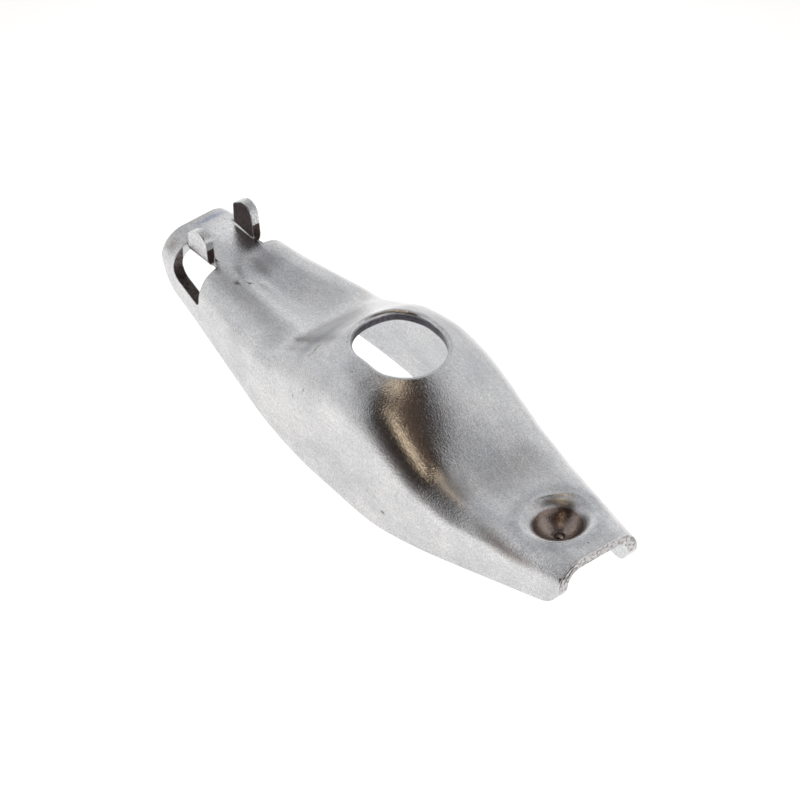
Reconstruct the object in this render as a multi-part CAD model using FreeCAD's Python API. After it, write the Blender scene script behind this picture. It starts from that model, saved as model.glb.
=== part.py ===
import FreeCAD, Part
import math
import os

V = FreeCAD.Vector

# Rocker arm pressed from one sheet of steel, lying belly up on the edges of its two walls.
# All sizes in millimetres. X runs toward the push rod cup, Y to the far side, Z up.
# The origin is the middle of the stud slot, at the height of the top of the hump.

# the sheet
sheet = 1.65

# the run of the back, seen from the side: lengths along X and heights below the hump top
valve_end_x = -45.6
rod_end_x = 41.4
pad_drop = 11.2
crease_x = -15.5
crease_drop = 8.8
crease_radius = 7.0
hump_left_x = -6.5
hump_left_drop = 1.4
hump_left_radius = 7.0
hump_crown_drop = 0.3
hump_crown_radius = 12.0
hump_right_x = 7.3
hump_right_drop = 0.7
hump_right_radius = 14.5
dip_x = 20.0
dip_drop = 9.5
dip_radius = 16.4
rod_end_drop = 7.35

# shallow dishes pressed into the back, between its two long crests
arm_dish_start_x = -36.0
arm_dish_depth = 1.3
arm_dish_deepest_x = -28.0
arm_dish_end_x = -10.0
rod_dish_start_x = 16.0
rod_dish_depth = 0.2
rod_dish_deepest_x = 32.0
rod_dish_end_x = 41.4
arm_dish_floor_share = 0.0
rod_dish_floor_share = 0.5

# half the width over the walls
half_width_valve_end = 5.6
half_width_body = 11.9
half_width_rod_end = 6.2
body_left_x = -12.9
body_right_x = 14.9
width_blend_radius = 80.0

# how low the walls hang below the hump top
foot_drop = 21.3
foot_left_x = -5.4
foot_right_x = 8.5
foot_valve_end_drop = 18.6
foot_valve_x = -36.0
foot_rod_end_drop = 14.2
foot_blend_radius = 30.0
valve_end_round = 4.6
rod_end_round = 3.8

# radius of the dome across the hump, and where the dome has run out into the rod arm
hump_dome_radius = 16.1
hump_foot_x = 21.0

# outside radius of the long bends between back and walls
bend_pad = 3.7
bend_arm = 5.2
bend_hump = 8.1
bend_rod_arm = 3.9
bend_fade_start_x = 6.7
bend_fade_end_x = 25.4

# stud slot
slot_length = 13.8
slot_width = 11.5
slot_rim_radius = 0.5

# push rod cup
cup_x = 33.3
cup_ball_radius = 3.97
cup_mouth_radius = 3.47
cup_lip_radius = 1.8
cup_bulge_radius = 3.9
cup_root_radius = 4.6
oil_hole_diameter = 1.5

# windows beside the valve pad
window_left_x = -42.2
window_right_x = -34.3
window_top_right_x = -35.0
window_bottom_drop = 15.4
window_round = 1.9
neck_half_width = 3.5

# guide tabs bent up from the edges of the pad
tab_left_x = -41.3
tab_right_x = -36.5
tab_gap = 6.7
tab_sheet = 1.3
tab_sink = 0.12
tab_height_left = 3.7
tab_height_right = 5.3
near_tab_lower_by = 1.1
tab_bend_radius = 0.4

# how finely the skins are sampled
stations_apart = 1.5
wall_steps = 6
back_steps = 13


def rounded_path(points, radii):
    """Cuts the corners of a broken line with arcs and gives its pieces in order."""
    pieces = []
    start = points[0]
    for k in range(1, len(points) - 1):
        (ax, az), (bx, bz), (cx, cz) = points[k - 1], points[k], points[k + 1]
        la = math.hypot(ax - bx, az - bz)
        lc = math.hypot(cx - bx, cz - bz)
        ua = ((ax - bx) / la, (az - bz) / la)
        uc = ((cx - bx) / lc, (cz - bz) / lc)
        turn = math.acos(max(-1.0, min(1.0, ua[0] * uc[0] + ua[1] * uc[1])))
        back = min(radii[k - 1] / math.tan(turn / 2.0), 0.48 * la, 0.48 * lc)
        radius = back * math.tan(turn / 2.0)
        p = (bx + ua[0] * back, bz + ua[1] * back)
        q = (bx + uc[0] * back, bz + uc[1] * back)
        mid = (ua[0] + uc[0], ua[1] + uc[1])
        lm = math.hypot(mid[0], mid[1])
        reach = math.hypot(back, radius)
        centre = (bx + mid[0] / lm * reach, bz + mid[1] / lm * reach)
        pieces.append(("line", start, p))
        pieces.append(("arc", p, q, centre, radius))
        start = q
    pieces.append(("line", start, points[-1]))
    return pieces


def height_on(pieces, x):
    """The height of a rounded line at x."""
    for piece in pieces:
        p, q = piece[1], piece[2]
        if x <= q[0] or piece is pieces[-1]:
            if piece[0] == "line":
                return p[1] + (q[1] - p[1]) * (x - p[0]) / (q[0] - p[0])
            centre, radius = piece[3], piece[4]
            lift = math.sqrt(max(radius * radius - (x - centre[0]) ** 2, 0.0))
            above = p[1] > centre[1] or q[1] > centre[1]
            return centre[1] + lift if above else centre[1] - lift


def ease(a, b, x):
    t = min(max((x - a) / (b - a), 0.0), 1.0)
    return t * t * (3.0 - 2.0 * t)


past = 3.0
back_line = rounded_path(
    [
        (valve_end_x - past, -pad_drop),
        (crease_x, -crease_drop),
        (hump_left_x, -hump_left_drop),
        (0.0, hump_crown_drop),
        (hump_right_x, -hump_right_drop),
        (dip_x, -dip_drop),
        (rod_end_x + past, -rod_end_drop),
    ],
    [crease_radius, hump_left_radius, hump_crown_radius, hump_right_radius, dip_radius],
)
width_line = rounded_path(
    [
        (valve_end_x - past, half_width_valve_end),
        (body_left_x, half_width_body),
        (body_right_x, half_width_body),
        (rod_end_x + past, half_width_rod_end),
    ],
    [width_blend_radius, width_blend_radius],
)


def bend_at(x):
    """Outside radius of the long bend at x."""
    r = bend_pad + (bend_arm - bend_pad) * ease(window_left_x, window_right_x + 6.0, x)
    r += (bend_hump - bend_arm) * ease(crease_x - 5.0, hump_left_x + 2.0, x)
    r += (bend_rod_arm - bend_hump) * ease(bend_fade_start_x, bend_fade_end_x, x)
    return r


def dish_at(x):
    """How far the middle of the back lies below its crests at x."""
    arm = ease(arm_dish_start_x, arm_dish_deepest_x, x) - ease(arm_dish_deepest_x, arm_dish_end_x, x)
    rod = ease(rod_dish_start_x, rod_dish_deepest_x, x) - ease(rod_dish_deepest_x, rod_dish_end_x, x)
    return arm_dish_depth * arm + rod_dish_depth * rod


def middle_height(x):
    return height_on(back_line, x) - dish_at(x)


def dome_at(x):
    """One over the radius of the dome across the back at x, next to nothing on the flat arms."""
    dome = ease(crease_x, hump_left_x, x) - ease(hump_right_x, hump_foot_x, x)
    return max(dome / hump_dome_radius, 1e-4)


def outer_section(x):
    """Half of the outer skin at x, from the middle of the back out and down the wall."""
    top = height_on(back_line, x)
    half = height_on(width_line, x)
    r = bend_at(x)
    bow = dome_at(x)
    crown = (half - r) / (1.0 - r * bow)
    turn = math.asin(crown * bow)
    middle = turn / bow
    shoulder = top - (1.0 - math.cos(turn)) / bow
    wall_top = shoulder - r * math.cos(turn)
    dish = dish_at(x)
    floor_share = arm_dish_floor_share if x < 0.0 else rod_dish_floor_share
    whole = middle + r * (0.5 * math.pi - turn)
    points = []
    for k in range(back_steps + 1):
        along = whole * k / back_steps
        if along < middle:
            a = along * bow
            hollow = dish * (1.0 - ease(floor_share, 1.0, along / middle))
            points.append((math.sin(a) / bow, top - (1.0 - math.cos(a)) / bow - hollow))
        else:
            a = turn + (along - middle) / r
            points.append((crown + r * (math.sin(a) - math.sin(turn)), wall_top + r * math.cos(a)))
    low = -foot_drop - past
    for k in range(1, wall_steps + 1):
        points.append((half, wall_top + (low - wall_top) * k / wall_steps))
    return points


def skin_point(x, k):
    """Point k of the whole section at x: k counts from one foot over the back to the other."""
    half = outer_section(x)
    last = len(half) - 1
    y, z = half[abs(k - last)]
    return V(x, -y if k < last else y, z)


def skin_grid(inset):
    """Rows of points over the outer skin, moved in along its own normal by inset."""
    count = 2 * len(outer_section(0.0)) - 1
    length = rod_end_x - valve_end_x + 2.0
    rows = int(round(length / stations_apart))
    step = 0.02
    grid = []
    for i in range(rows + 1):
        x = valve_end_x - 1.0 + length * i / rows
        here = [skin_point(x, k) for k in range(count)]
        if inset:
            ahead = [skin_point(x + step, k) for k in range(count)]
            behind = [skin_point(x - step, k) for k in range(count)]
            moved = []
            for k in range(count):
                across = here[min(k + 1, count - 1)] - here[max(k - 1, 0)]
                along = ahead[k] - behind[k]
                normal = along.cross(across)
                normal.normalize()
                moved.append(here[k] - normal * inset)
            here = moved
        grid.append(here)
    return grid


def skin_face(grid):
    surface = Part.BSplineSurface()
    surface.interpolate(grid)
    return surface.toShape()


def edges_by_side(face):
    """The four border edges of a skin, in the order of its own parameters."""
    surface = face.Surface
    u0, u1, v0, v1 = surface.bounds()
    curves = [surface.vIso(v0), surface.vIso(v1), surface.uIso(u0), surface.uIso(u1)]
    return [c.toShape() for c in curves]


def channel():
    """The bent sheet: two skins a sheet apart, closed along their four borders."""
    outer = skin_face(skin_grid(0.0))
    inner = skin_face(skin_grid(sheet))
    faces = [outer, inner]
    for a, b in zip(edges_by_side(outer), edges_by_side(inner)):
        faces.append(Part.makeRuledSurface(a, b))
    shell = Part.makeShell(faces)
    shell.sewShape()
    solid = Part.makeSolid(shell)
    if solid.Volume < 0:
        solid.reverse()
    return solid


def wire_xz(pieces, y):
    edges = []
    for piece in pieces:
        p = V(piece[1][0], y, piece[1][1])
        q = V(piece[2][0], y, piece[2][1])
        if p.distanceToPoint(q) < 1e-6:
            continue
        if piece[0] == "line":
            edges.append(Part.makeLine(p, q))
        else:
            centre, radius = piece[3], piece[4]
            mx = 0.5 * (p.x + q.x) - centre[0]
            mz = 0.5 * (p.z + q.z) - centre[1]
            lm = math.hypot(mx, mz)
            mid = V(centre[0] + mx / lm * radius, y, centre[1] + mz / lm * radius)
            edges.append(Part.Arc(p, mid, q).toShape())
    return Part.Wire(edges)


def side_prism(points, radii, y0, y1):
    """A prism across Y whose outline in the side view is a closed rounded line."""
    a, b = points[0], points[-1]
    start = (0.5 * (a[0] + b[0]), 0.5 * (a[1] + b[1]))
    ring = [start] + list(points) + [start]
    wire = wire_xz(rounded_path(ring, radii), y0)
    return Part.Face(wire).extrude(V(0, y1 - y0, 0))


def side_outline():
    """Everything of the channel that lies inside this prism stays: feet and both ends."""
    wide = half_width_body + past
    points = [
        (valve_end_x, past),
        (valve_end_x, -foot_valve_end_drop + 0.4),
        (foot_valve_x, -foot_valve_end_drop),
        (foot_left_x, -foot_drop),
        (foot_right_x, -foot_drop),
        (rod_end_x, -foot_rod_end_drop),
        (rod_end_x, past),
    ]
    radii = [0.01, valve_end_round, 12.0, foot_blend_radius, foot_blend_radius, rod_end_round, 0.01]
    return side_prism(points, radii, -wide, wide)


def slot_tool():
    reach = foot_drop + past
    r = 0.5 * slot_width
    straight = slot_length - slot_width
    box = Part.makeBox(straight, slot_width, reach, V(-0.5 * straight, -r, -0.5 * foot_drop))
    left = Part.makeCylinder(r, reach, V(-0.5 * straight, 0, -0.5 * foot_drop))
    right = Part.makeCylinder(r, reach, V(0.5 * straight, 0, -0.5 * foot_drop))
    return box.fuse([left, right]).removeSplitter()


def window_tool(side):
    """Clears one window: the wall under the pad edge and the long bend above it."""
    points = [
        (window_left_x, 0.0),
        (window_left_x, -window_bottom_drop),
        (window_right_x, -window_bottom_drop),
        (window_top_right_x, -pad_drop),
        (window_top_right_x, 0.0),
    ]
    radii = [0.01, window_round, 0.5 * window_round, 0.5, 0.01]
    y0, y1 = neck_half_width, half_width_body
    if side < 0:
        y0, y1 = -y1, -y0
    return side_prism(points, radii, y0, y1)


def tab_profile(pad_top):
    """The bent strip seen along X: a short leg sunk in the pad, the bend, the upright."""
    inner = 0.5 * tab_gap
    outer = inner + tab_sheet
    r = tab_bend_radius
    bend_y = inner - r
    leg_y = bend_y - 1.0
    leg_top = pad_top - tab_sink
    bend_z = leg_top + r
    leg_low = leg_top - tab_sheet
    high = pad_top + tab_height_right + 1.0
    s = math.sqrt(0.5)
    inner_mid = V(0, bend_y + r * s, bend_z - r * s)
    outer_mid = V(0, bend_y + (r + tab_sheet) * s, bend_z - (r + tab_sheet) * s)
    edges = [
        Part.makeLine(V(0, leg_y, leg_top), V(0, bend_y, leg_top)),
        Part.Arc(V(0, bend_y, leg_top), inner_mid, V(0, inner, bend_z)).toShape(),
        Part.makeLine(V(0, inner, bend_z), V(0, inner, high)),
        Part.makeLine(V(0, inner, high), V(0, outer, high)),
        Part.makeLine(V(0, outer, high), V(0, outer, bend_z)),
        Part.Arc(V(0, outer, bend_z), outer_mid, V(0, bend_y, leg_low)).toShape(),
        Part.makeLine(V(0, bend_y, leg_low), V(0, leg_y, leg_low)),
        Part.makeLine(V(0, leg_y, leg_low), V(0, leg_y, leg_top)),
    ]
    return Part.Face(Part.Wire(edges))


def tab(side):
    """A guide tab: a strip of sheet that turns up out of the pad edge, rounded on top."""
    middle = 0.5 * (tab_left_x + tab_right_x)
    length = tab_right_x - tab_left_x
    pad_top = height_on(back_line, middle)
    pad_slope = (height_on(back_line, tab_right_x) - height_on(back_line, tab_left_x)) / length
    lower = near_tab_lower_by if side < 0 else 0.0
    strip = tab_profile(pad_top).extrude(V(length, 0, 0))
    strip.translate(V(tab_left_x, 0, 0))
    foot = pad_top - 2.0 * sheet
    outline = [
        (tab_left_x, foot),
        (tab_left_x + 0.15, pad_top + tab_height_left - lower),
        (tab_left_x + 0.55 * length, pad_top + tab_height_right - lower),
        (tab_right_x - 0.5, pad_top + 0.8 * (tab_height_right - lower)),
        (tab_right_x, foot),
    ]
    keep = side_prism(outline, [0.01, 0.9, 1.8, 1.6, 0.01], 0.0, half_width_body)
    strip = strip.common(keep)
    strip.rotate(V(middle, 0, pad_top), V(0, 1, 0), -math.degrees(math.atan(pad_slope)))
    if side < 0:
        strip = strip.mirror(V(0, 0, 0), V(0, 1, 0))
    return strip


def cup_frame():
    """Where the cup sits on the back of the arm, and the arm's own tilt there."""
    z = middle_height(cup_x)
    slope = math.atan((middle_height(cup_x + 1.0) - middle_height(cup_x - 1.0)) / 2.0)
    return z, slope


def on_arm(shape):
    z, slope = cup_frame()
    shape = shape.copy()
    shape.rotate(V(0, 0, 0), V(0, 1, 0), -math.degrees(slope))
    shape.translate(V(cup_x, 0, z))
    return shape


def lip_centre_radius():
    """How far from the cup's axis the lip arc is centred, so that it runs smoothly into the ball."""
    return cup_mouth_radius * (cup_ball_radius + cup_lip_radius) / cup_ball_radius


def cup_centre_height():
    """How far the ball centre of the cup lies above the arm."""
    reach = cup_ball_radius + cup_lip_radius
    return math.sqrt(reach ** 2 - lip_centre_radius() ** 2) - cup_lip_radius


def cup_body():
    """The outside of the pressed bowl: it bulges out under the arm from a sloping root."""
    centre = cup_centre_height()
    outer = cup_ball_radius + sheet
    level = -0.6 * sheet
    low = centre - outer
    bulge_z = centre - math.sqrt(outer ** 2 - cup_bulge_radius ** 2)
    a = 0.5 * math.asin(cup_bulge_radius / outer)
    mid = V(outer * math.sin(a), 0, centre - outer * math.cos(a))
    edges = [
        Part.Arc(V(0, 0, low), mid, V(cup_bulge_radius, 0, bulge_z)).toShape(),
        Part.makeLine(V(cup_bulge_radius, 0, bulge_z), V(cup_root_radius, 0, level)),
        Part.makeLine(V(cup_root_radius, 0, level), V(0, 0, level)),
        Part.makeLine(V(0, 0, level), V(0, 0, low)),
    ]
    return on_arm(Part.Face(Part.Wire(edges)).revolve(V(0, 0, 0), V(0, 0, 1), 360))


def cup_hollow():
    """What the ball end of the push rod presses out, with a rounded lip at the mouth."""
    centre = cup_centre_height()
    ball = cup_ball_radius
    lip = cup_lip_radius
    lip_x = lip_centre_radius()
    tilt = math.acos(cup_mouth_radius / ball)
    low = V(0, 0, centre - ball)
    half_way = 0.5 * (0.5 * math.pi + tilt)
    ball_mid = V(ball * math.cos(half_way), 0, centre - ball * math.sin(half_way))
    mouth = V(cup_mouth_radius, 0, centre - ball * math.sin(tilt))
    lip_end = math.radians(80.0)
    lip_way = 0.5 * (tilt + lip_end)
    lip_mid = V(lip_x - lip * math.cos(lip_way), 0, -lip + lip * math.sin(lip_way))
    rim = V(lip_x - lip * math.cos(lip_end), 0, -lip + lip * math.sin(lip_end))
    brim = V(rim.x + 0.7, 0, rim.z + 0.35)
    edge = V(rim.x + 1.6, 0, rim.z + 1.4)
    edges = [
        Part.Arc(low, ball_mid, mouth).toShape(),
        Part.Arc(mouth, lip_mid, rim).toShape(),
        Part.makeLine(rim, brim),
        Part.makeLine(brim, edge),
        Part.makeLine(edge, V(edge.x, 0, past)),
        Part.makeLine(V(edge.x, 0, past), V(0, 0, past)),
        Part.makeLine(V(0, 0, past), low),
    ]
    bowl = Part.Face(Part.Wire(edges)).revolve(V(0, 0, 0), V(0, 0, 1), 360)
    under = centre - ball - 3.0 * sheet
    hole = Part.makeCylinder(0.5 * oil_hole_diameter, 4.0 * sheet, V(0, 0, under))
    return on_arm(bowl.fuse(hole))


def slot_rim(body):
    """The edges where the stud slot breaks through the outer skin."""
    outer = skin_face(skin_grid(0.0))
    reach = 0.5 * slot_length + 0.1
    rim = []
    for edge in body.Edges:
        middle = edge.valueAt(0.5 * (edge.FirstParameter + edge.LastParameter))
        if abs(middle.x) > reach or abs(middle.y) > reach:
            continue
        if Part.Vertex(middle).distToShape(outer)[0] < 0.1 * sheet:
            rim.append(edge)
    return rim


def rocker_arm():
    body = channel().common(side_outline())
    body = body.cut([slot_tool(), window_tool(1), window_tool(-1)])
    body = body.fuse([tab(1), tab(-1), cup_body()])
    body = body.cut(cup_hollow())
    body = body.makeFillet(slot_rim_radius, slot_rim(body))
    return max(body.Solids, key=lambda piece: piece.Volume)


os.makedirs("parts", exist_ok=True)
rocker = rocker_arm()
rocker.exportStep("parts/rocker_arm.step")
box = rocker.BoundBox
print("rocker_arm", rocker.isValid(), round(rocker.Volume, 1), len(rocker.Faces))
print([round(v, 2) for v in (box.XMin, box.XMax, box.YMin, box.YMax, box.ZMin, box.ZMax)])
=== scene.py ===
# %% [markdown]
# # A pressed steel rocker arm on a pale table
#
# The object is one piece of sheet steel, a little over one and a half millimetres thick. A press has folded
# it into a boat shaped channel, and here it lies belly up on the edges of its two walls. Its shape comes
# ready made as the frame, so this lesson is about everything else that the eye needs: a camera, a table, a
# light tent and above all the skin of bare steel. First the frame is loaded, and its box is kept.

# %% Load the frame
import math

import bpy
from mathutils import Matrix, Vector


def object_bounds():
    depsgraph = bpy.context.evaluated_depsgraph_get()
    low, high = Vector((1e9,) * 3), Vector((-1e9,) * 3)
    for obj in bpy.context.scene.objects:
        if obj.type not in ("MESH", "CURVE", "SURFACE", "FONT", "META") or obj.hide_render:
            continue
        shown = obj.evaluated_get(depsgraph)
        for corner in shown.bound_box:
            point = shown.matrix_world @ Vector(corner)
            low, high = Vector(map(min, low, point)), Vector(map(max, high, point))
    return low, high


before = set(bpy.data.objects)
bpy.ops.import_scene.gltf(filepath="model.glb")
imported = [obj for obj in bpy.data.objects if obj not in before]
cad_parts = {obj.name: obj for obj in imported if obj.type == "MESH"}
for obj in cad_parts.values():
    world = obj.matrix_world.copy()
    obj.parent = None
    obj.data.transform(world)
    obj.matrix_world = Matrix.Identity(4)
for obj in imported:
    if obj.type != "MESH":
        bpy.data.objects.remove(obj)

steel_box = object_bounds()
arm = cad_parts["rocker_arm"]
print("arm from", tuple(round(v, 4) for v in steel_box[0]), "to", tuple(round(v, 4) for v in steel_box[1]))

# %% [markdown]
# ## Units and three small helpers
#
# Blender measures in metres, a press shop in millimetres. One constant turns one into the other, so that
# every size below can be read as it would stand on a drawing. Paint charts and photographs give colours as
# sRGB hex values, while a shader adds up linear light, so one function turns hex into linear. One more adds
# a shader node with its settings, its values and its links in a single call. The Mix node has several
# inputs called A and B, a pair for each kind of data, so they are reached by number, and the numbers are
# given names here. The third function uses it for what is needed most: a colour that fades into another one
# while some value grows.

# %% Units, colours and nodes
MM = 0.001
COLOUR_A, COLOUR_B, COLOUR_OUT = 6, 7, 2
NUMBER_A, NUMBER_B, NUMBER_OUT = 2, 3, 0


def linear(colour, strength=1.0):
    """Turns an sRGB hex colour into linear red, green and blue, times an optional strength, and alpha."""
    channels = [int(colour[i:i + 2], 16) / 255 for i in (1, 3, 5)]
    channels = [c / 12.92 if c <= 0.04045 else ((c + 0.055) / 1.055) ** 2.4 for c in channels]
    return (*(c * strength for c in channels), 1.0)


def add_node(tree, kind, inputs=None, **settings):
    """Adds one node. A value that is a socket gets linked, any other value is typed into the input."""
    made = tree.nodes.new(kind)
    for name, value in settings.items():
        setattr(made, name, value)
    for name, value in (inputs or {}).items():
        if isinstance(value, bpy.types.NodeSocket):
            tree.links.new(value, made.inputs[name])
        else:
            made.inputs[name].default_value = value
    return made


def fading(tree, value, start, end, before, after):
    """A colour that goes from one to another while a value grows from start to end."""
    share = add_node(tree, "ShaderNodeMapRange", {
        "Value": value, "From Min": start, "From Max": end}).outputs["Result"]
    return add_node(tree, "ShaderNodeMix", {
        "Factor": share, COLOUR_A: before, COLOUR_B: after}, data_type="RGBA").outputs[COLOUR_OUT]


print("mid grey #808080 is", round(linear("#808080")[0], 3), "in linear light")

# %% [markdown]
# ## The camera
#
# A small part is photographed from some distance through a long lens, which keeps its proportions true. The
# angle was worked out from the outline of the part: the camera stands to the right of the near wall and
# looks down at about 44 degrees. Instead of aiming by eye, its three directions are written as a matrix:
# right, up and back. It is also lowered a little along its own up direction, which sets the part in the
# middle of the picture's height.

# %% Camera angle and distance
camera_turn = math.radians(50.9)
camera_height = math.radians(43.9)
camera_roll = math.radians(0.5)
camera_distance = 668.4 * MM
camera_drop = 8.67 * MM

level = Vector((math.cos(camera_turn), math.sin(camera_turn), 0))
to_camera = Vector((
    math.sin(camera_turn) * math.cos(camera_height),
    -math.cos(camera_turn) * math.cos(camera_height),
    math.sin(camera_height),
))
upright = to_camera.cross(level)
camera_right = level * math.cos(camera_roll) + upright * math.sin(camera_roll)
camera_up = -level * math.sin(camera_roll) + upright * math.cos(camera_roll)
print("camera looks from", tuple(round(v, 3) for v in to_camera))

# %% Camera object
camera_data = bpy.data.cameras.new("long_lens")
camera_data.sensor_width = 36
camera_data.lens = 225
camera_data.clip_start = 0.02
camera_data.clip_end = 20
camera = bpy.data.objects.new("camera", camera_data)
camera_place = to_camera * camera_distance - camera_up * camera_drop
columns = Matrix((camera_right, camera_up, to_camera)).transposed().to_4x4()
camera.matrix_world = Matrix.Translation(camera_place) @ columns
bpy.context.scene.collection.objects.link(camera)
bpy.context.scene.camera = camera
print("camera stands", round(camera_place.length / MM), "mm from the hump")

# %% [markdown]
# ## The table
#
# The arm lies on plain white board. The board is a large square whose height is the lowest point of the
# arm, so the wall edges really touch it. A photographer would light it until it burns out to white. Here
# the board has a matt white surface and also glows in a round pool about the part, so there it stays white,
# and only the soft dark line of contact is left. Farther out the glow fades, and the steel shows it: its
# walls mirror the bright board near by, and its long bends mirror the dimmer board far away, so they turn
# from white to grey.

# %% White board
board_z = steel_box[0].z
board_half = 1500 * MM
board_mesh = bpy.data.meshes.new("white_board")
corners = [(-1, -1), (1, -1), (1, 1), (-1, 1)]
board_mesh.from_pydata([(x * board_half, y * board_half, board_z) for x, y in corners], [], [(0, 1, 2, 3)])
board = bpy.data.objects.new("white_board", board_mesh)
bpy.context.scene.collection.objects.link(board)
print("board lies at", round(board_z / MM, 2), "mm")

# %% Board paint and its glow
board_paint = bpy.data.materials.new("matt_white_board")
board_paint.use_nodes = True
board_tree = board_paint.node_tree
board_shader = board_tree.nodes["Principled BSDF"]
board_shader.inputs["Base Color"].default_value = linear("#F2F2F2")
board_shader.inputs["Roughness"].default_value = 0.9
board_shader.inputs["Specular IOR Level"].default_value = 0.1
board_shader.inputs["Emission Color"].default_value = linear("#FFFFFF")

pool_inner, pool_outer = 20 * MM, 150 * MM
pool_bright, pool_dim = 0.82, 0.42
board_place = add_node(board_tree, "ShaderNodeTexCoord").outputs["Object"]
away = add_node(board_tree, "ShaderNodeVectorMath", {0: board_place, 1: (1, 1, 0)}, operation="MULTIPLY")
away = add_node(board_tree, "ShaderNodeVectorMath", {0: away.outputs["Vector"]}, operation="LENGTH")
pool = add_node(board_tree, "ShaderNodeMapRange", {
    "Value": away.outputs["Value"], "From Min": pool_inner, "From Max": pool_outer,
    "To Min": pool_bright, "To Max": pool_dim,
}, interpolation_type="SMOOTHSTEP").outputs["Result"]
board_tree.links.new(pool, board_shader.inputs["Emission Strength"])
board.data.materials.append(board_paint)
print("board glow fades until", round(pool_outer / MM), "mm from the middle")

# %% [markdown]
# ## The light tent
#
# Bare steel has hardly a colour of its own: what the eye sees on it is the room. Here the room is a white
# tent, so most directions are soft white. The tent is open in one strip, from overhead down to the horizon
# on the camera's side, and through it a dark room is mirrored in the near shoulder of the hump as a brown
# drop. The tent is a world shader that looks at nothing but the direction of the light: its X runs along
# the part, its Y to the far side. Three soft edged steps, two along X and one along Y, cut the opening out
# of the white.

# %% Opening in the tent
world = bpy.data.worlds.new("light_tent")
bpy.context.scene.world = world
world.use_nodes = True
tent = world.node_tree
tent.nodes.clear()
direction = add_node(tent, "ShaderNodeTexCoord").outputs["Generated"]
toward = add_node(tent, "ShaderNodeSeparateXYZ", {"Vector": direction}).outputs

opening_steps = [
    # axis, where the step starts and ends, mask before and after it
    ("X", -0.37, -0.27, 0.0, 1.0),
    ("X", 0.62, 0.82, 1.0, 0.0),
    ("Y", 0.27, 0.38, 1.0, 0.0),
]
opening = None
for axis, start, end, before, after in opening_steps:
    step = add_node(tent, "ShaderNodeMapRange", {
        "Value": toward[axis], "From Min": start, "From Max": end, "To Min": before, "To Max": after,
    }, interpolation_type="SMOOTHSTEP").outputs["Result"]
    opening = step if opening is None else add_node(
        tent, "ShaderNodeMath", {0: opening, 1: step}, operation="MULTIPLY").outputs["Value"]
print("opening cut by", len(opening_steps), "steps")

# %% [markdown]
# A room is darkest above and lighter near its floor, where the white table throws light back. So the
# opening is brown black high up and fades to the colour of a dim wall at the horizon. The cloth is lit by
# the table too: it is nearly as bright as the board where it meets the horizon, and greyer overhead, but
# for its far side.

# %% Dark room and tent cloth
room_fade = (0.02, 0.40)
far_side_fade = (0.42, 0.66)
overhead_fade = (0.36, 0.68)
room = fading(tent, toward["Z"], *room_fade, linear("#8A817E"), linear("#322A27"))
high_cloth = fading(tent, toward["Y"], *far_side_fade, linear("#D6D6D8"), linear("#F2F2F3"))
white = fading(tent, toward["Z"], *overhead_fade, linear("#FAFAFB"), high_cloth)
cloth = add_node(tent, "ShaderNodeMix", {
    "Factor": opening, COLOUR_A: white, COLOUR_B: room}, data_type="RGBA").outputs[COLOUR_OUT]
print("cloth and room from", len(tent.nodes), "nodes")

# %% [markdown]
# Two warm lamps burn in that dark room, one almost overhead and one lower down on the camera's side. On the
# hump they give the brown drop its glowing core. Each lamp is a soft spot: its strength falls off with the
# angle between the light and the lamp's own direction, and its width is the angle where a third of it is
# left. A wider and weaker spot is the haze of lamplight on the room's ceiling.

# %% Warm lamps
lamps = [
    # direction, width in degrees, colour and strength
    ((-0.10, -0.14, 0.98), 5.5, linear("#FFE9CC", 3.4)),
    ((0.22, -0.55, 0.80), 4.8, linear("#FFE7C5", 4.4)),
    ((0.28, -0.22, 0.93), 15.0, linear("#FFD2B0", 0.12)),
]
light = cloth
for aim, width, colour in lamps:
    along = add_node(tent, "ShaderNodeVectorMath", {
        0: direction, 1: Vector(aim).normalized()}, operation="DOT_PRODUCT").outputs["Value"]
    sharpness = 1.0 / (1.0 - math.cos(math.radians(width)))
    fall = add_node(tent, "ShaderNodeMath", {0: along, 1: sharpness, 2: -sharpness}, operation="MULTIPLY_ADD")
    glow = add_node(tent, "ShaderNodeMath", {0: fall.outputs["Value"]}, operation="EXPONENT").outputs["Value"]
    lamp = add_node(tent, "ShaderNodeVectorMath", {0: colour[:3], "Scale": glow}, operation="SCALE")
    light = add_node(tent, "ShaderNodeVectorMath", {0: light, 1: lamp.outputs["Vector"]}).outputs["Vector"]
print(len(lamps), "soft spots of warm light")

# %% Light the scene with the tent
tent_light = add_node(tent, "ShaderNodeBackground", {"Color": light, "Strength": 1.0})
add_node(tent, "ShaderNodeOutputWorld", {"Surface": tent_light.outputs["Background"]})

bpy.context.scene.view_settings.view_transform = "Standard"
bpy.context.scene.view_settings.look = "None"
print("tent built from", len(tent.nodes), "nodes")

# %% [markdown]
# ## The steel
#
# The sheet is plain low carbon steel. It was pressed, hardened and then tumbled with grit, which rounds the
# edges and takes burrs off. To the eye that gives a bright grey metal with a fine satin grain, soft clouds
# left by the heat, faint lines along which the sheet was drawn, darker raw edges where the punch cut it,
# and brown oil stains where the push rod and the valve stem rub. All of it is one material, because it is
# one piece, and everything in it is placed in millimetres on the part.

# %% Steel and its places in millimetres
steel = bpy.data.materials.new("tumbled_pressed_steel")
steel.use_nodes = True
skin = steel.node_tree
shader = skin.nodes["Principled BSDF"]
shader.inputs["Metallic"].default_value = 1.0

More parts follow.
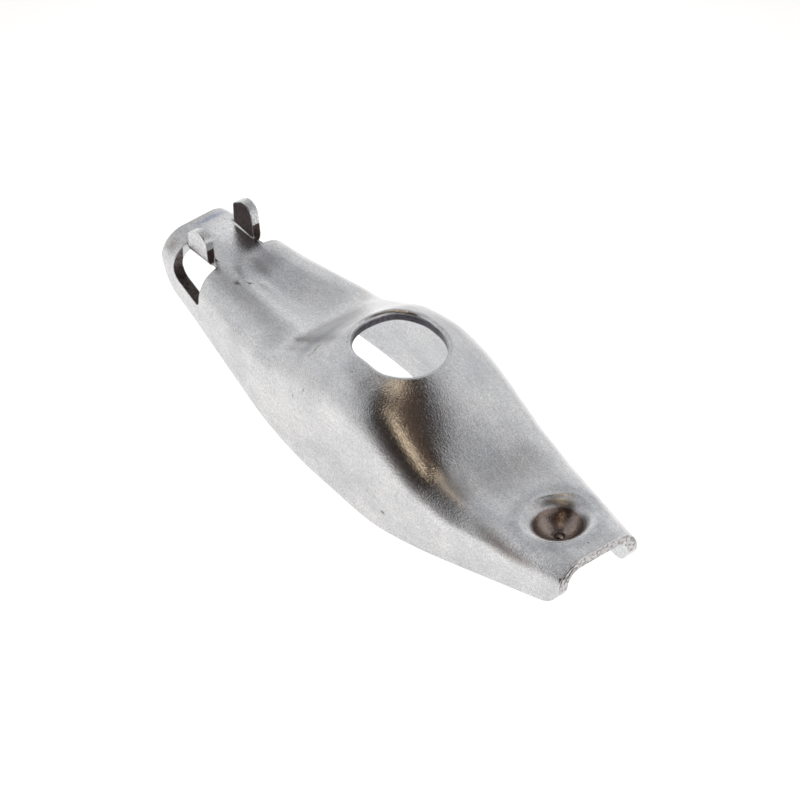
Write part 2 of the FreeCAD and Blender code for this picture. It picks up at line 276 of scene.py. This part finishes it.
in_metres = add_node(skin, "ShaderNodeTexCoord").outputs["Object"]
place = add_node(skin, "ShaderNodeVectorMath", {
    0: in_metres, "Scale": 1 / MM}, operation="SCALE").outputs["Vector"]
surface = add_node(skin, "ShaderNodeNewGeometry").outputs
facing = add_node(skin, "ShaderNodeSeparateXYZ", {"Vector": surface["Normal"]}).outputs
print("steel is measured in steps of", MM, "m")

# %% [markdown]
# ### Clouds, draw lines and grit
#
# Three noises at three real sizes make the skin. Heat clouds are some seven millimetres across. Draw lines
# run along the arm: their noise is squeezed along X, so that each is a long streak half a millimetre wide.
# Tumbling grit leaves pits of about a tenth of a millimetre, which is less than a pixel here, so the grain
# is drawn at about a quarter of a millimetre, as coarse as it needs to be to show. The value of such a
# noise stays mostly between 0.3 and 0.7, so that range is stretched to the tones that are wanted.

# %% Three noises
cloud_size = 7.0
draw_line_width = 0.55
draw_line_squeeze = 0.06
grit_size = 0.25

clouds = add_node(skin, "ShaderNodeTexNoise", {
    "Vector": place, "Scale": 1 / cloud_size, "Detail": 4.0, "Roughness": 0.62}).outputs["Fac"]
drawn = add_node(skin, "ShaderNodeVectorMath", {
    0: place, 1: (draw_line_squeeze, 1.0, 1.0)}, operation="MULTIPLY")
draw_lines = add_node(skin, "ShaderNodeTexNoise", {
    "Vector": drawn.outputs["Vector"], "Scale": 1 / draw_line_width, "Detail": 2.0}).outputs["Fac"]
grit = add_node(skin, "ShaderNodeTexNoise", {
    "Vector": place, "Scale": 1 / grit_size, "Detail": 2.0, "Roughness": 0.7}).outputs["Fac"]
print("clouds", cloud_size, "mm, draw lines", draw_line_width, "mm, grit", grit_size, "mm")

# %% Base colour from the three noises
noise_low, noise_high = 0.3, 0.7
cloud_fade = (0.34, 0.66)
dull_rough, bright_rough = 0.22, 0.17

tone = fading(skin, clouds, *cloud_fade, linear("#BEBFC1"), linear("#D0D0D0"))
for noise, darkest, brightest in [(draw_lines, 0.95, 1.04), (grit, 0.77, 1.20)]:
    strength = add_node(skin, "ShaderNodeMapRange", {
        "Value": noise, "From Min": noise_low, "From Max": noise_high,
        "To Min": darkest, "To Max": brightest}).outputs["Result"]
    tone = add_node(skin, "ShaderNodeVectorMath", {
        0: tone, "Scale": strength}, operation="SCALE").outputs["Vector"]
roughness = add_node(skin, "ShaderNodeMapRange", {
    "Value": clouds, "From Min": noise_low, "From Max": noise_high,
    "To Min": dull_rough, "To Max": bright_rough}).outputs["Result"]
print("grain and clouds from", len(skin.nodes), "nodes")

# %% [markdown]
# ### Stains and painted shade
#
# A stain is a soft patch with a ragged edge. It is round in its own squeezed space: the distance from its
# centre is divided by its half sizes along X, Y and Z, noise is added to fray the edge, and a smooth step
# turns that into a mask. A stain is a film over the steel, so its colour is multiplied in, and the grain
# still shows through it. The same mask sets the roughness there. Some patches of the same kind are painted
# shade: they darken the crease at the hump's left flank, the near bend of the valve arm and the valley at
# the foot of the hump. A brown one is a painted reflection of the dark room along the near ridge of the rod
# arm. One patch, at the foot of the hump, is there for the picture: the warm glow mirrored in the hump
# would run on too far, and a duller skin lets it fade. Its darker colour is painted shade.

# %% Noise that frays the edges
frays_per_mm = 0.9
fray_noise = add_node(skin, "ShaderNodeTexNoise", {
    "Vector": place, "Scale": frays_per_mm, "Detail": 5.0, "Roughness": 0.65}).outputs["Fac"]
fray = add_node(skin, "ShaderNodeMath", {0: fray_noise, 1: 0.5}, operation="SUBTRACT").outputs["Value"]
print("edges frayed", frays_per_mm, "times in a millimetre")


# %% One function for all patches
def counted_from(centre, half_sizes):
    """How far a point is from a centre along X, Y and Z, counted in half sizes."""
    apart = add_node(skin, "ShaderNodeVectorMath", {
        0: place, 1: centre}, operation="SUBTRACT").outputs["Vector"]
    return add_node(skin, "ShaderNodeVectorMath", {
        0: apart, 1: half_sizes}, operation="DIVIDE").outputs["Vector"]


def patch(centre, half_sizes, softness, ragged):
    """A mask that is one in the middle of a patch and fades out at its frayed border."""
    far = add_node(skin, "ShaderNodeVectorMath", {
        0: counted_from(centre, half_sizes)}, operation="LENGTH").outputs["Value"]
    far = add_node(skin, "ShaderNodeMath", {
        0: fray, 1: ragged, 2: far}, operation="MULTIPLY_ADD").outputs["Value"]
    return add_node(skin, "ShaderNodeMapRange", {
        "Value": far, "From Min": 1.0 - softness, "From Max": 1.0, "To Min": 1.0, "To Max": 0.0,
    }, interpolation_type="SMOOTHSTEP").outputs["Result"]


def blend_in(tone, roughness, mask, colour, rough, strength=1.0):
    """Blends a patch's colour and roughness into the steel where the mask is one: a stain, a cut face or
    painted shade.
    """
    if strength < 1.0:
        mask = add_node(skin, "ShaderNodeMath", {0: mask, 1: strength}, operation="MULTIPLY").outputs["Value"]
    tone = add_node(skin, "ShaderNodeMix", {
        "Factor": mask, COLOUR_A: tone, COLOUR_B: linear(colour),
    }, data_type="RGBA", blend_type="MULTIPLY").outputs[COLOUR_OUT]
    roughness = add_node(skin, "ShaderNodeMix", {
        "Factor": mask, NUMBER_A: roughness, NUMBER_B: rough}).outputs[NUMBER_OUT]
    return tone, roughness


# %% Heat stains and painted shade on the back
cup_x = 33.3
patch_softness, patch_fray = 0.95, 0.7
heat_stains_and_painted_shade = [
    # centre, half sizes, colour, roughness, strength
    ((-31.8, 1.2, -10.2), (3.4, 6.5, 4.0), "#CFCFD2", 0.30, 0.85),
    # Painted shade in the crease where the hump's left flank meets the valve arm.
    ((-10.6, -5.0, -5.5), (2.4, 6.5, 4.5), "#C4C6CC", 0.30, 0.80),
    # Painted shade: a grey band along the near bend of the valve arm, softening the step from bright wall to
    # grey top.
    ((-27.0, -5.2, -9.9), (16.0, 2.4, 3.0), "#DCDCDC", 0.28, 0.90),
    # Painted shade on the floor of the rod arm's valley at the foot of the hump.
    ((22.0, 0.5, -9.3), (5.0, 8.0, 4.0), "#DDDDDD", 0.28, 0.80),
    ((cup_x, 0.0, -8.9), (7.2, 6.2, 1.6), "#E6E7EA", 0.32, 0.80),
    # Painted reflection: a brown grey band along the near ridge of the rod arm, where the dark room is
    # mirrored.
    ((31.5, -8.0, -10.2), (11.0, 1.7, 1.5), "#BDB4B0", 0.30, 0.85),
    # Darker and duller where the glow mirrored in the hump runs on too far. The darker colour is painted
    # shade.
    ((20.0, -6.6, -8.6), (5.0, 3.6, 2.6), "#DEDCDA", 0.42, 0.80),
    ((-44.0, -5.2, -12.0), (2.0, 1.8, 1.8), "#C9C3BE", 0.30, 0.80),
    ((-44.3, 1.6, -10.9), (0.8, 4.0, 1.0), "#C3CBE2", 0.22, 0.80),
]
for centre, half_sizes, colour, rough, strength in heat_stains_and_painted_shade:
    mask = patch(centre, half_sizes, patch_softness, patch_fray)
    tone, roughness = blend_in(tone, roughness, mask, colour, rough, strength)
print(len(heat_stains_and_painted_shade), "heat stains")

# %% [markdown]
# ### Oil and rust brown at the working places
#
# The ball of the push rod turns in the cup and the valve stem slides between the two tabs. Oil burns on
# there and leaves the steel brown and dull. A grey ring about the cup is painted shade: it stands for the
# slope at the border of the shallow dish that the press drew about the cup. The lip of the cup is worn
# dull. The cup is stained below its rim, with a darker ring where the ball's edge of contact runs, and its
# lowest point, at the oil hole, is speckled nearly black, like the wall of the hole.

# %% Painted shade: grey ring around the cup
ring_outer, ring_inner = 7.6, 6.4
ring_half_height = 6.0
ring_softness, ring_fray = 0.30, 0.5
ring_centre = (cup_x, 0.0, -9.0)
disc, hollow = [
    patch(ring_centre, (radius, radius, ring_half_height), ring_softness, ring_fray)
    for radius in (ring_outer, ring_inner)]
painted_shade_ring = add_node(skin, "ShaderNodeMath", {0: disc, 1: hollow}, operation="SUBTRACT").outputs["Value"]
tone, roughness = blend_in(tone, roughness, painted_shade_ring, colour="#BCBEC3", rough=0.26, strength=0.6)
print("ring from", ring_inner, "to", ring_outer, "mm about the cup")

# %% Stains in the cup
cup_stains = [
    # centre, half sizes, colour, roughness, strength, softness, fray
    ((cup_x, 0.0, -9.2), (5.4, 5.4, 1.6), "#FAF8F8", 0.32, 1.00, 0.30, 0.3),
    ((cup_x, 0.0, -10.5), (3.50, 3.50, 6.0), "#B9A59B", 0.26, 0.95, 0.06, 0.06),
    ((cup_x, 0.0, -10.2), (3.6, 3.6, 0.65), "#84716B", 0.30, 0.85, 0.70, 0.5),
    ((33.1, 0.0, -12.0), (1.6, 1.6, 1.2), "#5A4C48", 0.45, 0.85, 0.70, 2.2),
    ((cup_x, 0.0, -13.6), (1.0, 1.0, 1.5), "#4A403D", 0.50, 1.00, 0.20, 0.2),
]
for centre, half_sizes, colour, rough, strength, softness, ragged in cup_stains:
    mask = patch(centre, half_sizes, softness, ragged)
    tone, roughness = blend_in(tone, roughness, mask, colour, rough, strength)
print(len(cup_stains), "stains in the cup")

# %% [markdown]
# ### Painted highlights
#
# These patches are painted highlight. On the pad under the valve stem, in the shallow valley of the arm and
# on the flats beside the cup the reflections alone would leave the steel too grey, so there it is made
# brighter. The tone is scaled up, so the grain stays as it is.

# %% Painted highlights
highlight_softness, highlight_fray = 0.8, 1.0
painted_highlights = [
    # centre, half sizes, gain
    ((-41.0, 1.6, -10.6), (4.6, 3.6, 2.5), 0.34),
    ((-20.5, -3.2, -9.2), (9.0, 2.2, 3.0), 0.12),
    ((35.0, -6.2, -9.3), (8.0, 3.4, 2.5), 0.34),
    ((37.5, 4.0, -8.6), (4.0, 5.0, 2.0), 0.16),
]
for centre, half_sizes, gain in painted_highlights:
    mask = patch(centre, half_sizes, highlight_softness, highlight_fray)
    lift = add_node(skin, "ShaderNodeMath", {
        0: mask, 1: gain, 2: 1.0}, operation="MULTIPLY_ADD").outputs["Value"]
    tone = add_node(skin, "ShaderNodeVectorMath", {
        0: tone, "Scale": lift}, operation="SCALE").outputs["Vector"]
print(len(painted_highlights), "polished patches")

# %% [markdown]
# ### Nicks and pits
#
# A part that was tumbled and handled has a few nicks, and here and there rust has eaten a pit. The nicks
# are patches too, only small and very ragged, so that each breaks up into a few dark crumbs. The pits are
# the rare peaks of a noise a little under a millimetre in size.

# %% Nicks
nick_softness, nick_fray = 0.9, 3.4
nicks = [
    # centre, half sizes
    ((-6.4, -11.4, -8.3), (0.30, 0.5, 1.0)),
    ((-8.4, -11.6, -10.5), (0.25, 0.5, 0.5)),
    ((-30.2, -4.3, -9.9), (1.1, 0.4, 0.6)),
    ((-29.3, -3.0, -9.9), (0.5, 0.7, 0.6)),
    ((11.1, -11.9, -17.4), (0.6, 0.4, 0.3)),
    ((-8.9, -7.5, -4.9), (0.4, 1.2, 0.9)),
]
for centre, half_sizes in nicks:
    mask = patch(centre, half_sizes, nick_softness, nick_fray)
    tone, roughness = blend_in(tone, roughness, mask, colour="#A8A19E", rough=0.40)
print(len(nicks), "nicks")

# %% Pits
pits_per_mm = 1.3
pit_rim, pit_floor = 0.69, 0.76
pit_noise = add_node(skin, "ShaderNodeTexNoise", {
    "Vector": place, "Scale": pits_per_mm, "Detail": 3.0, "Roughness": 0.7}).outputs["Fac"]
pits = add_node(skin, "ShaderNodeMapRange", {
    "Value": pit_noise, "From Min": pit_rim, "From Max": pit_floor}).outputs["Result"]
tone, roughness = blend_in(tone, roughness, pits, colour="#9C9896", rough=0.42)
print("pits drawn where the noise is over", pit_rim)

# %% [markdown]
# At the rod end the bend of the sheet was cut through, and there the layers of the sheet have opened a
# little. It shows as two fine dark lines that follow the bend. Each is a thin ring about the axis of the
# bend, and only the part of it near the end face is drawn.

# %% Open layers at the rod end
bend_centre = (0.0, -2.9, -11.6)
layer_lines = [
    # radius, half width
    (3.75, 0.16),
    (3.0, 0.12),
]
layer_fray = 1.1
across = add_node(skin, "ShaderNodeVectorMath", {
    0: place, 1: (0.0, 1.0, 1.0)}, operation="MULTIPLY").outputs["Vector"]
across = add_node(skin, "ShaderNodeVectorMath", {
    0: across, 1: bend_centre}, operation="SUBTRACT").outputs["Vector"]
out = add_node(skin, "ShaderNodeVectorMath", {0: across}, operation="LENGTH").outputs["Value"]
out = add_node(skin, "ShaderNodeMath", {
    0: fray, 1: layer_fray, 2: out}, operation="MULTIPLY_ADD").outputs["Value"]
near_end = patch((41.4, -5.2, -9.0), (0.8, 2.2, 2.2), softness=0.5, ragged=0.8)
for radius, half_width in layer_lines:
    line = add_node(skin, "ShaderNodeMath", {
        0: out, 1: radius, 2: half_width}, operation="COMPARE").outputs["Value"]
    line = add_node(skin, "ShaderNodeMath", {0: line, 1: near_end}, operation="MULTIPLY").outputs["Value"]
    tone, roughness = blend_in(tone, roughness, line, colour="#5C5452", rough=0.45)
print(len(layer_lines), "fine lines at the rod end")

# %% [markdown]
# ### Raw cut faces
#
# A punch first shears the sheet bright and then tears it, so a cut face is darker, rougher and mottled with
# torn grain less than half a millimetre in size. Such faces are found by where they lie and which way they
# look: a box around each opening and end face, and a normal that lies in the sheet instead of across it.

# %% Boxes around the cuts
def within(low, high):
    """A mask that is one inside a box given by two corners in millimetres."""
    middle = [(a + b) / 2 for a, b in zip(low, high)]
    half = [(b - a) / 2 for a, b in zip(low, high)]
    sides = add_node(skin, "ShaderNodeVectorMath", {
        0: counted_from(middle, half)}, operation="ABSOLUTE").outputs["Vector"]
    sides = add_node(skin, "ShaderNodeSeparateXYZ", {"Vector": sides}).outputs
    most = add_node(skin, "ShaderNodeMath", {
        0: sides["X"], 1: sides["Y"]}, operation="MAXIMUM").outputs["Value"]
    most = add_node(skin, "ShaderNodeMath", {0: most, 1: sides["Z"]}, operation="MAXIMUM").outputs["Value"]
    return add_node(skin, "ShaderNodeMath", {0: most, 1: 1.0}, operation="LESS_THAN").outputs["Value"]


def looking(axis, start, end):
    """A mask that grows from nothing to one as the normal's size along an axis goes from start to end."""
    size = add_node(skin, "ShaderNodeMath", {0: facing[axis]}, operation="ABSOLUTE").outputs["Value"]
    return add_node(skin, "ShaderNodeMapRange", {
        "Value": size, "From Min": start, "From Max": end}).outputs["Result"]


# %% Torn grain
torn_size = 0.4
torn_low, torn_high = 0.46, 0.64
torn_noise = add_node(skin, "ShaderNodeTexNoise", {
    "Vector": place, "Scale": 1 / torn_size, "Detail": 3.0}).outputs["Fac"]
torn = add_node(skin, "ShaderNodeMapRange", {
    "Value": torn_noise, "From Min": torn_low, "From Max": torn_high}).outputs["Result"]
print("torn grain", torn_size, "mm")

# %% Stain the cut faces
cuts = [
    # box corners, normal test, colour, roughness, strength
    ((-7.1, -5.9, -9.0), (7.1, 5.9, 2.0), ("Z", 0.35, 0.15), "#66626A", 0.34, 0.95),
    ((-42.6, 4.9, -15.8), (-33.6, 12.0, -9.0), ("Y", 0.35, 0.15), "#675957", 0.38, 0.95),
    ((-42.6, -12.0, -15.8), (-33.6, -4.9, -9.0), ("Y", 0.35, 0.15), "#675957", 0.38, 0.95),
    # These two rows make the tabs' inner faces dark brown. These faces look at each other across the valve
    # stem's gap and are sheet faces, not cuts.
    ((-42.6, 3.2, -10.4), (-35.7, 3.7, -4.0), ("Y", 0.50, 0.80), "#6C5C5A", 0.45, 1.0),
    ((-42.6, -3.7, -10.4), (-35.7, -3.2, -4.0), ("Y", 0.50, 0.80), "#6C5C5A", 0.45, 1.0),
    ((-37.0, 3.2, -11.0), (-35.6, 4.9, -5.5), ("X", 0.50, 0.80), "#6C5C5A", 0.45, 1.0),
    ((-37.0, -4.9, -11.0), (-35.6, -3.2, -5.5), ("X", 0.50, 0.80), "#6C5C5A", 0.45, 1.0),
    ((41.3, -9.0, -15.0), (41.5, 9.0, -6.0), ("X", 0.50, 0.80), "#FAF8F8", 0.34, 1.0),
]
for low, high, test, colour, rough, strength in cuts:
    mask = add_node(skin, "ShaderNodeMath", {
        0: within(low, high), 1: looking(*test)}, operation="MULTIPLY").outputs["Value"]
    tone, roughness = blend_in(tone, roughness, mask, colour, rough, strength)
    mask = add_node(skin, "ShaderNodeMath", {0: mask, 1: torn}, operation="MULTIPLY").outputs["Value"]
    tone, roughness = blend_in(tone, roughness, mask, colour="#B0AAA8", rough=0.45)
print(len(cuts), "cut faces")

# %% [markdown]
# ### Edges and relief
#
# Tumbling rounds every edge to about a quarter of a millimetre and polishes it. The Bevel node gives
# normals as if the edges were rounded, so the edges catch light. Where its normal turns away from the real
# one there is an edge, and there the steel is made brighter. The turn is measured by the cosine of the
# angle between the two.

# %% Rounded and polished edges
edge_radius = 0.28 * MM
edge_starts, edge_full = 0.99, 0.86
rounded = add_node(skin, "ShaderNodeBevel", {"Radius": edge_radius}, samples=6).outputs["Normal"]
agree = add_node(skin, "ShaderNodeVectorMath", {
    0: rounded, 1: surface["Normal"]}, operation="DOT_PRODUCT").outputs["Value"]
edge = add_node(skin, "ShaderNodeMapRange", {
    "Value": agree, "From Min": edge_starts, "From Max": edge_full}).outputs["Result"]
tone = add_node(skin, "ShaderNodeMix", {
    "Factor": edge, COLOUR_A: tone, COLOUR_B: linear("#DADADA")}, data_type="RGBA").outputs[COLOUR_OUT]
print("edges rounded to", round(edge_radius / MM, 2), "mm")

# %% [markdown]
# The relief comes last. Long shallow waves are left by the press, and the grit has roughened the whole skin
# by about a hundredth of a millimetre. That is little, but the eye sees it clearly, because it breaks up
# the border of every reflection into speckles. The heights given to the Bump nodes are larger than the real
# ones, because a noise uses only the middle of its range.

# %% Bump
wave_size = 5.0
wave_height = 0.022 * MM
grit_height = 0.034 * MM
draw_height = 0.003 * MM

waves = add_node(skin, "ShaderNodeTexNoise", {
    "Vector": place, "Scale": 1 / wave_size, "Detail": 1.0}).outputs["Fac"]
normal = rounded
for height, depth in [(waves, wave_height), (draw_lines, draw_height), (grit, grit_height)]:
    normal = add_node(skin, "ShaderNodeBump", {
        "Height": height, "Distance": depth, "Strength": 1.0, "Normal": normal}).outputs["Normal"]
print("waves", round(wave_height / MM, 3), "mm, grit", round(grit_height / MM, 3), "mm")

# %% Steel on the arm
skin.links.new(tone, shader.inputs["Base Color"])
skin.links.new(roughness, shader.inputs["Roughness"])
skin.links.new(normal, shader.inputs["Normal"])

for slot in arm.material_slots:
    slot.material = steel
print("steel built from", len(skin.nodes), "nodes on a mesh of", len(arm.data.polygons), "faces")
